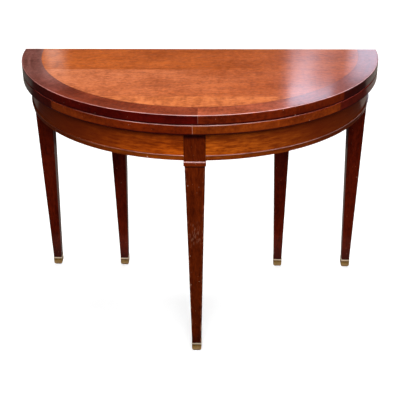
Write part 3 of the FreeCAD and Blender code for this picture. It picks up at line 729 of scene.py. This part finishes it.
def front_leg_wood(name):
    """Wood of the front leg, scuffed, with painted shade atop its block, its collar painted lighter as if
    lit from above, a painted highlight on the lip above the collar and a painted shadow below it.
    """
    finish = Finish(name)
    base = TONES["front_leg"]
    _, _, z = finish.apart(finish.place())
    grain = finish.shifted(grain_upright(finish), FRONT_LEG_SHIFT)
    light, fine, pore = figured(finish, grain, FRONT_LEG_PATTERN)
    colour = darkened(finish, finish.ramp(light, shades(base, contrast=0.45)), pore, base, amount=0.4)
    colour = grimy(finish, colour)
    # Painted shade at the top of the block, under the overhang
    corner_low = APRON_HIGH.z - 1.5 * OVERHANG_SHADE_HEIGHT
    corner = finish.level(z, corner_low, APRON_HIGH.z - OVERHANG_SHADE_HEIGHT, 0.0, OVERHANG_SHADE_STRENGTH)
    colour = finish.mix(corner, colour, tone(*DIRT_AND_SHADE_TONE))
    # Collar painted lighter, as if lit from above
    collar = finish.between(z, COLLAR_Z + COLLAR_COVE / 2, LIP_Z, COLLAR_FADE)
    colour = finish.mix(finish.maths("MULTIPLY", collar, COLLAR_LIT_STRENGTH), colour, tone(*COLLAR_LIT_TONE))
    # Painted shadow under the collar
    collar_shadow = finish.between(z, COLLAR_Z - COLLAR_SHADOW_HEIGHT, COLLAR_Z + COLLAR_COVE / 4, COLLAR_FADE)
    colour = finish.mix(collar_shadow, colour, tone(*COLLAR_SHADOW_TONE))
    colour = finish.mix(scuffs(finish), colour, tone(*SCUFF_TONE))
    # Painted highlight on the lip above the collar
    lip = finish.between(z, LIP_Z - LIP_HIGHLIGHT_BELOW, LIP_Z + LIP_HIGHLIGHT_ABOVE, LIP_FADE)
    colour = knocked(finish, highlighted(finish, colour, lip, fine, LIP_HIGHLIGHT), amount=0.7)
    return varnished(finish, colour, fine, pore, LEG_VARNISH)


def aged_brass(name, cap=False):
    """Polished brass gone brown in places. A cap has a bright ring, partly worn and partly a painted
    highlight, over a dark groove.
    """
    finish = Finish(name)
    place = finish.place()
    clouds = finish.noise(finish.stretched(place, *BRASS_CLOUDS), detail=4)
    specks = finish.noise(finish.stretched(place, *BRASS_SPECKS), detail=2)
    colour = finish.ramp(clouds, [(spot, tone(*shade)) for spot, shade in BRASS_TONES])
    if cap:
        _, _, height = finish.apart(place)
        rise = finish.level(height, 0.0, CAP_TOP)
        bands = finish.ramp(rise, [(spot, tone(*shade)) for spot, shade in CAP_BANDS])
        colour = finish.mix(CAP_BAND_STRENGTH, colour, bands)
    tarnish = finish.level(specks, *SPECK_RANGE, 0.0, TARNISH_STRENGTH)
    colour = finish.mix(tarnish, colour, tone(*TARNISH_TONE))
    finish.bump(specks, BRASS_RELIEF, BRASS_DEPTH)
    finish.shade(Base_Color=colour, Metallic=CAP_METAL if cap else BRASS_METAL)
    finish.shade(Roughness=finish.level(clouds, *NOISE_RANGE, *BRASS_ROUGHNESS))
    return finish.material


def eased_shading(shape):
    """Smooth faces with sharp edges kept where two faces meet steeply."""
    for face in shape.faces:
        face.smooth = True
    for edge in shape.edges:
        edge.smooth = len(edge.link_faces) == 2 and edge.calc_face_angle(math.pi) < SMOOTH_LIMIT


def piece(name, shape, finish, node, stands_for_it=True):
    """Object made of a finished shape. It moves with a node's body and, as a rule, stands for that node."""
    bmesh.ops.remove_doubles(shape, verts=shape.verts, dist=MERGE)
    bmesh.ops.recalc_face_normals(shape, faces=shape.faces)
    eased_shading(shape)
    mesh = bpy.data.meshes.new(name)
    shape.to_mesh(mesh)
    shape.free()
    mesh.materials.append(finish)
    obj = bpy.data.objects.new(name, mesh)
    bpy.context.scene.collection.objects.link(obj)
    obj.modifiers.new("level_faces", "WEIGHTED_NORMAL").keep_sharp = True
    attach(obj, BODY_OF[node])
    if stands_for_it:
        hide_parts(node)


def close_ends(shape):
    """Fills the open ends of a cut or swept shape."""
    open_edges = [edge for edge in shape.edges if edge.is_boundary]
    if open_edges:
        bmesh.ops.holes_fill(shape, edges=open_edges)


def sweep(shape, inner, outer, low_z, high_z, start, end, rounding=0.0):
    """Rectangular section, with its outer corners rounded, swept round the middle of the back edge.
    Angles count from the front of the round towards +X."""
    face = bmesh.ops.create_grid(shape, x_segments=1, y_segments=1, size=0.5)["verts"]
    stand = Matrix.Rotation(math.pi / 2, 4, "X")
    size = Matrix.Diagonal((outer - inner, 1, high_z - low_z, 1))
    lift = Matrix.Translation(((inner + outer) / 2, 0, (low_z + high_z) / 2))
    turn = Matrix.Rotation(start - math.pi / 2, 4, "Z")
    bmesh.ops.transform(shape, matrix=lift @ size @ stand, verts=face)
    faces = list({linked for vertex in face for linked in vertex.link_faces})
    if rounding:
        corners = [vertex for vertex in face if vertex.co.x > (inner + outer) / 2]
        made = bmesh.ops.bevel(shape, geom=corners, offset=rounding, segments=CORNER_STEPS, profile=0.5,
                               affect="VERTICES", material=-1)
        faces = list({linked for vertex in made["verts"] for linked in vertex.link_faces})
    section = list({vertex for linked in faces for vertex in linked.verts})
    bmesh.ops.transform(shape, matrix=Matrix.Translation(CENTRE) @ turn, verts=section)
    edges = list({edge for linked in faces for edge in linked.edges})
    bmesh.ops.spin(shape, geom=section + edges + faces, cent=CENTRE, axis=(0, 0, 1), angle=end - start,
                   steps=math.ceil((end - start) / SWEEP_STEP))
    close_ends(shape)


def append(shape, part):
    """Adds a part to a shape and frees it."""
    mesh = bpy.data.meshes.new("part")
    part.to_mesh(mesh)
    part.free()
    shape.from_mesh(mesh)
    bpy.data.meshes.remove(mesh)


def trim(shape, point, outward):
    """Cuts away what lies outside a plane and closes the cut."""
    whole = shape.verts[:] + shape.edges[:] + shape.faces[:]
    bmesh.ops.bisect_plane(shape, geom=whole, dist=CUT_SLACK, plane_co=point, plane_no=outward,
                           clear_outer=True)
    close_ends(shape)


def draw_out(shape, face):
    """Extrudes a face and gives the new one. The old face stays only where it starts a new solid."""
    starts = all(edge.is_boundary for edge in face.edges)
    grown = bmesh.ops.extrude_face_region(shape, geom=[face])["geom"]
    if not starts:
        bmesh.ops.delete(shape, geom=[face], context="FACES_ONLY")
    return next(item for item in grown if isinstance(item, bmesh.types.BMFace))


def post(shape, x, y, sections, arris):
    """Upright of rounded rectangles, each a width, a depth and a height, drawn up one after another."""
    width, depth, bottom = sections[0]
    verts = bmesh.ops.create_grid(shape, x_segments=1, y_segments=1, size=0.5)["verts"]
    size = Matrix.Diagonal((width, depth, 1, 1))
    bmesh.ops.transform(shape, matrix=Matrix.Translation((x, y, bottom)) @ size, verts=verts)
    made = bmesh.ops.bevel(shape, geom=verts, offset=arris, segments=ARRIS_STEPS, profile=0.5,
                           affect="VERTICES", material=-1)
    face = made["verts"][0].link_faces[0]
    for wide, deep, height in sections[1:]:
        face = draw_out(shape, face)
        to_origin = Matrix.Translation((-x, -y, -face.verts[0].co.z))
        scale = Matrix.Diagonal((wide / width, deep / depth, 1, 1))
        lift = Matrix.Translation((x, y, height))
        bmesh.ops.transform(shape, matrix=lift @ scale @ to_origin, verts=face.verts)
        width, depth = wide, deep
    return face


def joint_angles(leaf):
    """Angles of the rim's ends and joints on one leaf, from left to right, read off the rim pieces."""
    front_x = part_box(f"{leaf}_rim_left")[1].x
    front = math.asin(front_x / (TOP_RADIUS if front_x > 0 else FIELD_RADIUS))
    left = -math.acos((BACK_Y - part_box(f"{leaf}_rim_left_end")[0].y) / TOP_RADIUS)
    right = math.acos((BACK_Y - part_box(f"{leaf}_rim_right_end")[0].y) / TOP_RADIUS)
    return -math.pi / 2, left, front, right, math.pi / 2


def rims(leaf):
    """Four rounded rim segments of one leaf."""
    angles = joint_angles(leaf)
    for index, place in enumerate(("left_end", "left", "right", "right_end")):
        node = f"{leaf}_rim_{place}"
        low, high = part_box(node)
        shape = bmesh.new()
        start, end = angles[index:index + 2]
        sweep(shape, FIELD_RADIUS, TOP_RADIUS, low.z, high.z, start, end, ARRIS)
        piece(f"rounded_{node}", shape, rim_wood(leaf, place, angles[2], low.z, high.z), node)


def apron_strip(shape, side, inner, outer, low_z, high_z, rounding=0.0):
    """Quarter-round strip between the front leg's block and the backs of the rear legs."""
    past_leg = math.pi / 2 + SWEEP_STEP
    start, end = (SWEEP_STEP, past_leg) if side > 0 else (-past_leg, -SWEEP_STEP)
    strip = bmesh.new()
    sweep(strip, inner, outer, low_z, high_z, start, end, rounding)
    trim(strip, (side * BLOCK_WIDTH / 2, 0, 0), (-side, 0, 0))
    trim(strip, (0, APRON_HIGH.y, 0), (0, 1, 0))
    append(shape, strip)


def aprons(apron_finishes, moulding_finish):
    """Curved apron halves, and the band and round bead along their lower edges."""
    for name, side in SIDES:
        shape = bmesh.new()
        apron_strip(shape, side, APRON_RADIUS - APRON_THICKNESS, APRON_RADIUS, APRON_LOW.z, APRON_HIGH.z)
        piece(f"curved_apron_{name}", shape, apron_finishes[name], f"apron_{name}")
        shape = bmesh.new()
        face = APRON_RADIUS + GLUE_LINE
        band_face = face + GLUE_LINE
        band_top = BEAD_Z + GLUE_LINE
        apron_strip(shape, side, band_face, APRON_RADIUS + BAND_PROUD, APRON_LOW.z, band_top)
        apron_strip(shape, side, face, APRON_RADIUS + BEAD_PROUD, BEAD_Z, BEAD_Z + BEAD_HEIGHT, BEAD_ROUND)
        piece(f"bead_and_band_{name}", shape, moulding_finish, f"apron_moulding_{name}")


def leg_axis(node):
    """Middle of a leg in plan."""
    low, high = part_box(node)
    return (low.x + high.x) / 2, (low.y + high.y) / 2


def sabot(name, leg_node, taper_top, finish):
    """Brass cap: narrowing toe, plain cup and bevelled ring, hollow for the end of the leg."""
    x, y = leg_axis(leg_node)
    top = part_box(name)[1].z

    def cup(height, extra=0.0):
        """Width over the taper at a height."""
        rise = (height - FOOT_Z) / (taper_top - FOOT_Z)
        return FOOT_WIDTH + (LEG_WIDTH - FOOT_WIDTH) * rise + 2 * (SABOT_WALL + extra)

    ring_z = top - RING_HEIGHT
    profile = [
        (cup(SABOT_TOE_HEIGHT, -SABOT_TOE_INSET), 0.0),
        (cup(SABOT_TOE_HEIGHT, -SABOT_TOE_INSET / 3), SABOT_TOE_HEIGHT / 2),
        (cup(SABOT_TOE_HEIGHT), SABOT_TOE_HEIGHT),
        (cup(ring_z), ring_z - GROOVE_HEIGHT),
        (cup(ring_z, -GROOVE_DEPTH), ring_z - GROOVE_HEIGHT / 2),
        (cup(ring_z, RING_PROUD), ring_z + RING_BEVEL),
        (cup(top, RING_PROUD), top - RING_BEVEL),
        (cup(top), top),
    ]
    shape = bmesh.new()
    mouth = post(shape, x, y, [(width, width, height) for width, height in profile], SABOT_ARRIS)
    bmesh.ops.inset_region(shape, faces=[mouth], thickness=SABOT_WALL)
    bmesh.ops.translate(shape, verts=draw_out(shape, mouth).verts, vec=(0, 0, FOOT_Z - top))
    piece(f"cast_{name}", shape, finish, name)


def rear_taper():
    """Sections of a rear leg from its foot to the apron's lower edge."""
    return [(FOOT_WIDTH, FOOT_WIDTH, FOOT_Z), (LEG_WIDTH, LEG_WIDTH, APRON_LOW.z)]


def outer_legs(finish, brass):
    """Fixed rear legs, cut back at the head behind the apron and beside the rear rail."""
    for name, side in SIDES:
        node = f"outer_leg_{name}"
        low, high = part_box(node)
        x, y = leg_axis(node)
        shape = bmesh.new()
        post(shape, x, y, rear_taper(), LEG_ARRIS)
        head = bmesh.new()
        square = (LEG_WIDTH, LEG_WIDTH)
        post(head, x, y, [(*square, APRON_LOW.z - GLUE_LINE), (*square, high.z)], LEG_ARRIS)
        inner = APRON_RADIUS - APRON_THICKNESS - GLUE_LINE
        front, back = (Vector((side * math.sqrt(inner ** 2 - (BACK_Y - end_y) ** 2), end_y, 0))
                       for end_y in (low.y, high.y))
        chord = back - front
        trim(head, front, Vector((chord.y, -chord.x, 0)) * side)
        trim(head, (low.x if side > 0 else high.x, y, 0), (-side, 0, 0))
        append(shape, head)
        piece(f"tapered_{node}", shape, finish, node)
        sabot(f"outer_sabot_{name}", node, APRON_LOW.z, brass)


def inner_legs(finish, brass):
    """Sliding rear legs, each with two cheeks astride the rear rail."""
    rail_low, rail_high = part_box("rear_rail")
    for name, _ in SIDES:
        node = f"inner_leg_{name}"
        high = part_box(node)[1]
        x, y = leg_axis(node)
        shape = bmesh.new()
        post(shape, x, y, rear_taper() + [(LEG_WIDTH, LEG_WIDTH, rail_low.z)], LEG_ARRIS)
        for near, far in ((y - LEG_WIDTH / 2, rail_low.y), (rail_high.y, y + LEG_WIDTH / 2)):
            cheek = (LEG_WIDTH, far - near)
            sections = [(*cheek, rail_low.z - GLUE_LINE), (*cheek, high.z)]
            post(shape, x, (near + far) / 2, sections, LEG_ARRIS)
        piece(f"tapered_{node}", shape, finish, node)
        sabot(f"inner_sabot_{name}", node, APRON_LOW.z, brass)


def front_leg(finish, brass):
    """Front leg: taper, collar, small groove and head block."""
    x, y = leg_axis("front_leg")
    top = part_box("front_leg")[1].z
    collar = BLOCK_WIDTH + 2 * COLLAR_PROUD
    profile = [
        (FOOT_WIDTH, FOOT_Z),
        (LEG_WIDTH, COLLAR_Z),
        (collar, COLLAR_Z + COLLAR_COVE),
        (collar, LIP_Z),
        (BLOCK_WIDTH - 2 * QUIRK_DEPTH, LIP_Z + QUIRK_HEIGHT / 2),
        (BLOCK_WIDTH, APRON_LOW.z),
        (BLOCK_WIDTH, top),
    ]
    shape = bmesh.new()
    post(shape, x, y, [(width, width, height) for width, height in profile], LEG_ARRIS)
    piece("tapered_front_leg", shape, finish, "front_leg")
    sabot("front_sabot", "front_leg", COLLAR_Z, brass)


def screw_head(shape, place, upward, turn):
    """Flat slotted head, let into its plate up to a hair's breadth."""
    head = bmesh.new()
    bmesh.ops.create_circle(head, cap_ends=True, segments=SCREW_SIDES, radius=SCREW_RADIUS)
    for side in (-1, 1):
        whole = head.verts[:] + head.edges[:] + head.faces[:]
        bmesh.ops.bisect_plane(head, geom=whole, plane_co=(side * SLOT_WIDTH / 2, 0, 0),
                               plane_no=(1, 0, 0))
    grown = bmesh.ops.extrude_face_region(head, geom=head.faces[:])["geom"]
    top = [item for item in grown if isinstance(item, bmesh.types.BMVert)]
    bmesh.ops.translate(head, verts=top, vec=(0, 0, SCREW_HEIGHT))
    slot = next(item for item in grown if isinstance(item, bmesh.types.BMFace)
                and abs(item.calc_center_median().x) < SLOT_WIDTH / 2)
    floor = draw_out(head, slot).verts
    bmesh.ops.translate(head, verts=floor, vec=(0, 0, -SLOT_DEPTH))
    bmesh.ops.scale(head, verts=floor, vec=(1, SLOT_FLOOR_SHARE, 1))
    seat = Matrix.Translation(place) @ Matrix.Rotation(0 if upward else math.pi, 4, "X")
    sink = Matrix.Translation((0, 0, SCREW_PROUD - SCREW_HEIGHT))
    bmesh.ops.transform(head, matrix=seat @ sink @ Matrix.Rotation(turn, 4, "Z"), verts=head.verts)
    append(shape, head)


def hinge_screws(finish):
    """Screw heads in the hinge plates of each leaf."""
    faces = {"lower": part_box("lower_rear_board")[1].z, "upper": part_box("upper_rear_board")[0].z}
    for leaf, face_z in faces.items():
        shape = bmesh.new()
        for count, hinge in enumerate(("left", "middle", "right")):
            low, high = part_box(f"hinge_{leaf}_{hinge}")
            middle_x = (low.x + high.x) / 2
            for index in (-1, 0, 1):
                place = Vector((middle_x + index * SCREW_SPACING, low.y + SCREW_INSET, face_z))
                screw_head(shape, place, leaf == "lower", SCREW_TURN * (3 * count + index))
        piece(f"hinge_screws_{leaf}", shape, finish, f"hinge_{leaf}_left", stands_for_it=False)


def dress(node, finish, easing=0.0):
    """Gives a CAD node its finish, and eased edges where asked."""
    obj = frame["nodes"][node]
    obj.material_slots[0].material = finish
    if easing:
        weld = obj.modifiers.new("weld", "WELD")
        weld.merge_threshold = MERGE
        flats = obj.modifiers.new("flats", "DECIMATE")
        flats.decimate_type = "DISSOLVE"
        flats.angle_limit = FLAT_LIMIT
        edges = obj.modifiers.new("eased_edges", "BEVEL")
        edges.width = easing
        edges.segments = EASING_STEPS
        edges.limit_method = "ANGLE"
        edges.angle_limit = EASED_LIMIT


def two_faced(tree, seen, reflected, target):
    """Links a level that the camera sees, and a dimmer one for light and for mirrors in the varnish."""
    ray = tree.nodes.new("ShaderNodeLightPath")
    mixed = tree.nodes.new("ShaderNodeMix")
    mixed.inputs["A"].default_value = reflected
    mixed.inputs["B"].default_value = seen
    tree.links.new(ray.outputs["Is Camera Ray"], mixed.inputs["Factor"])
    tree.links.new(mixed.outputs["Result"], target)


def pale_floor():
    """Wide plain floor."""
    shape = bmesh.new()
    bmesh.ops.create_grid(shape, x_segments=1, y_segments=1, size=FLOOR_HALF)
    mesh = bpy.data.meshes.new("floor")
    shape.to_mesh(mesh)
    shape.free()
    floor = bpy.data.objects.new("floor", mesh)
    bpy.context.scene.collection.objects.link(floor)
    finish = Finish("pale_floor")
    finish.shade(Roughness=FLOOR_ROUGHNESS, Specular_IOR_Level=0.0, Emission_Color=WHITE)
    two_faced(finish.tree, FLOOR_GLOW, 0.0, finish.shader.inputs["Emission Strength"])
    two_faced(finish.tree, FLOOR_SEEN, FLOOR_REFLECTED, finish.shader.inputs["Base Color"])
    mesh.materials.append(finish.material)


def surround():
    """Pale sky for the camera, a dim one for the light."""
    world = bpy.data.worlds.new("surround")
    world.use_nodes = True
    sky = world.node_tree.nodes["Background"]
    sky.inputs["Color"].default_value = WHITE
    two_faced(world.node_tree, SKY_SEEN, SKY_REFLECTED, sky.inputs["Strength"])
    bpy.context.scene.world = world


def softbox(name, place, target, width, height, power, tint=PLAIN_LIGHT, gleams=True):
    """Rectangular light that faces a point. One that doesn't gleam is never mirrored in the varnish."""
    lamp = bpy.data.lights.new(name, "AREA")
    lamp.shape = "RECTANGLE"
    lamp.size = width
    lamp.size_y = height
    lamp.energy = power
    lamp.color = tint
    obj = bpy.data.objects.new(name, lamp)
    bpy.context.scene.collection.objects.link(obj)
    obj.location = place
    obj.rotation_euler = (Vector(target) - Vector(place)).to_track_quat("-Z", "Y").to_euler()
    obj.visible_camera = False
    obj.visible_glossy = gleams


def window(name, place, target, width, height, power, tint, steps=WINDOW_STEPS):
    """Light whose brightness falls off towards its edges: nested softboxes, one just behind the other."""
    x, y, z = place
    for step, size in enumerate(steps):
        share = power * size * size / len(steps)
        spot = (x, y + step * WINDOW_GAP, z)
        softbox(f"{name}_{step}", spot, target, width * size, height * size, share, tint)


def windows():
    """Lights that gleam in the varnish: three on the right, one far right and a faint one on the left."""
    top = (0, 0, cad_high.z)
    window("window_right", (0.62, WINDOW_Y, 1.94), top, width=0.14, height=0.28, power=0.26, tint=DAYLIGHT)
    window("window_right_wide", (0.69, WINDOW_Y, 1.86), top, width=0.28, height=0.76, power=0.56,
           tint=DAYLIGHT)
    window("window_far_right", (1.20, WINDOW_Y, 1.73), top, width=0.48, height=0.50, power=2.95,
           tint=DAYLIGHT, steps=FAR_WINDOW_STEPS)
    softbox("window_sill", (0.685, WINDOW_Y, 2.12), top, width=0.30, height=0.18, power=0.72, tint=DAYLIGHT)
    window("window_left", (-1.10, WINDOW_Y, 1.77), top, width=0.11, height=0.22, power=0.14,
           tint=WARM_DAYLIGHT)


def floor_patch(name, x, y, width, power):
    """Square of light that shines up from the floor."""
    softbox(name, (x, y, PATCH_Z), (x, y, 1), width, width, power, FLOOR_LIGHT)


def soft_light():
    """Broad light from above, plain light from the front, the sides and the back, windows that gleam in the
    varnish, and patches of lit floor."""
    softbox("overhead", (0, 1.0, 6), (0, 1.0, 0), width=2.5, height=2.5, power=400, gleams=False)
    softbox("front_key", (0.15, -1.6, 2.2), (0, -0.3, 0.6), width=1.2, height=0.8, power=26)
    softbox("front_fill", (0.1, -2.3, 1.8), (0, -0.3, 0.5), width=1.2, height=0.8, power=42, gleams=False)
    softbox("left_fill", (-2.6, -0.9, 1.5), (0, 0, 0.6), width=1.0, height=0.8, power=12, gleams=False)
    softbox("right_fill", (2.6, -0.9, 1.5), (0, 0, 0.6), width=1.0, height=0.8, power=14, gleams=False)
    softbox("rear_fill", (0, 3.6, 1.9), (0, 0.3, 0.5), width=2.4, height=1.2, power=50, gleams=False)
    windows()
    floor_patch("floor_patch_right", 1.45, 2.0, width=1.3, power=2.1)
    floor_patch("floor_patch_rear", 0, 0.62, width=1.1, power=1.1)
    floor_patch("floor_patch_left", -1.45, 2.0, width=1.3, power=1.0)


def camera():
    """Camera at the photograph's place."""
    data = bpy.data.cameras.new("camera")
    data.sensor_width = CAMERA_SENSOR
    data.lens = CAMERA_LENS
    data.shift_x, data.shift_y = CAMERA_SHIFT
    obj = bpy.data.objects.new("camera", data)
    bpy.context.scene.collection.objects.link(obj)
    heading = Matrix.Rotation(math.radians(CAMERA_HEADING), 4, "Z")
    tilt = Matrix.Rotation(math.radians(90 - CAMERA_PITCH), 4, "X")
    roll = Matrix.Rotation(math.radians(CAMERA_ROLL), 4, "Z")
    obj.matrix_world = Matrix.Translation(CAMERA_PLACE) @ heading @ tilt @ roll
    bpy.context.scene.camera = obj


brass = aged_brass("aged_brass")
cap_brass = aged_brass("cap_brass", cap=True)
board_finishes = {board: board_wood(board) for board in BOARD_TONES}
leg_finish = leg_wood("leg_mahogany")
front_leg_finish = front_leg_wood("front_leg_mahogany")
apron_finishes = {name: apron_wood(f"apron_cherry_{name}", TONES[f"apron_{name}"]) for name, _ in SIDES}
moulding_finish = moulding_wood("moulding_mahogany")
beech_across = beech_wood("beech_across", grain_along_back, BEECH_ACROSS_SHIFT)
beech_deep = beech_wood("beech_deep", grain_front_to_back, BEECH_DEEP_SHIFT)

for leaf in ("upper", "lower"):
    rims(leaf)
    for board, finish in board_finishes.items():
        dress(f"{leaf}_{board}", finish)
aprons(apron_finishes, moulding_finish)
front_leg(front_leg_finish, cap_brass)
outer_legs(leg_finish, cap_brass)
inner_legs(leg_finish, cap_brass)
hinge_screws(brass)
for node, slot in SLOT_OF.items():
    if node.startswith("hinge"):
        dress(node, brass, HINGE_EASING)
    elif node.startswith(("runner", "guide", "stop_peg")):
        dress(node, beech_deep, BEECH_EASING)
    elif slot == "beech_frame":
        dress(node, beech_across, BEECH_EASING)
pale_floor()
surround()
soft_light()
camera()
bpy.context.scene.view_settings.view_transform = "Standard"
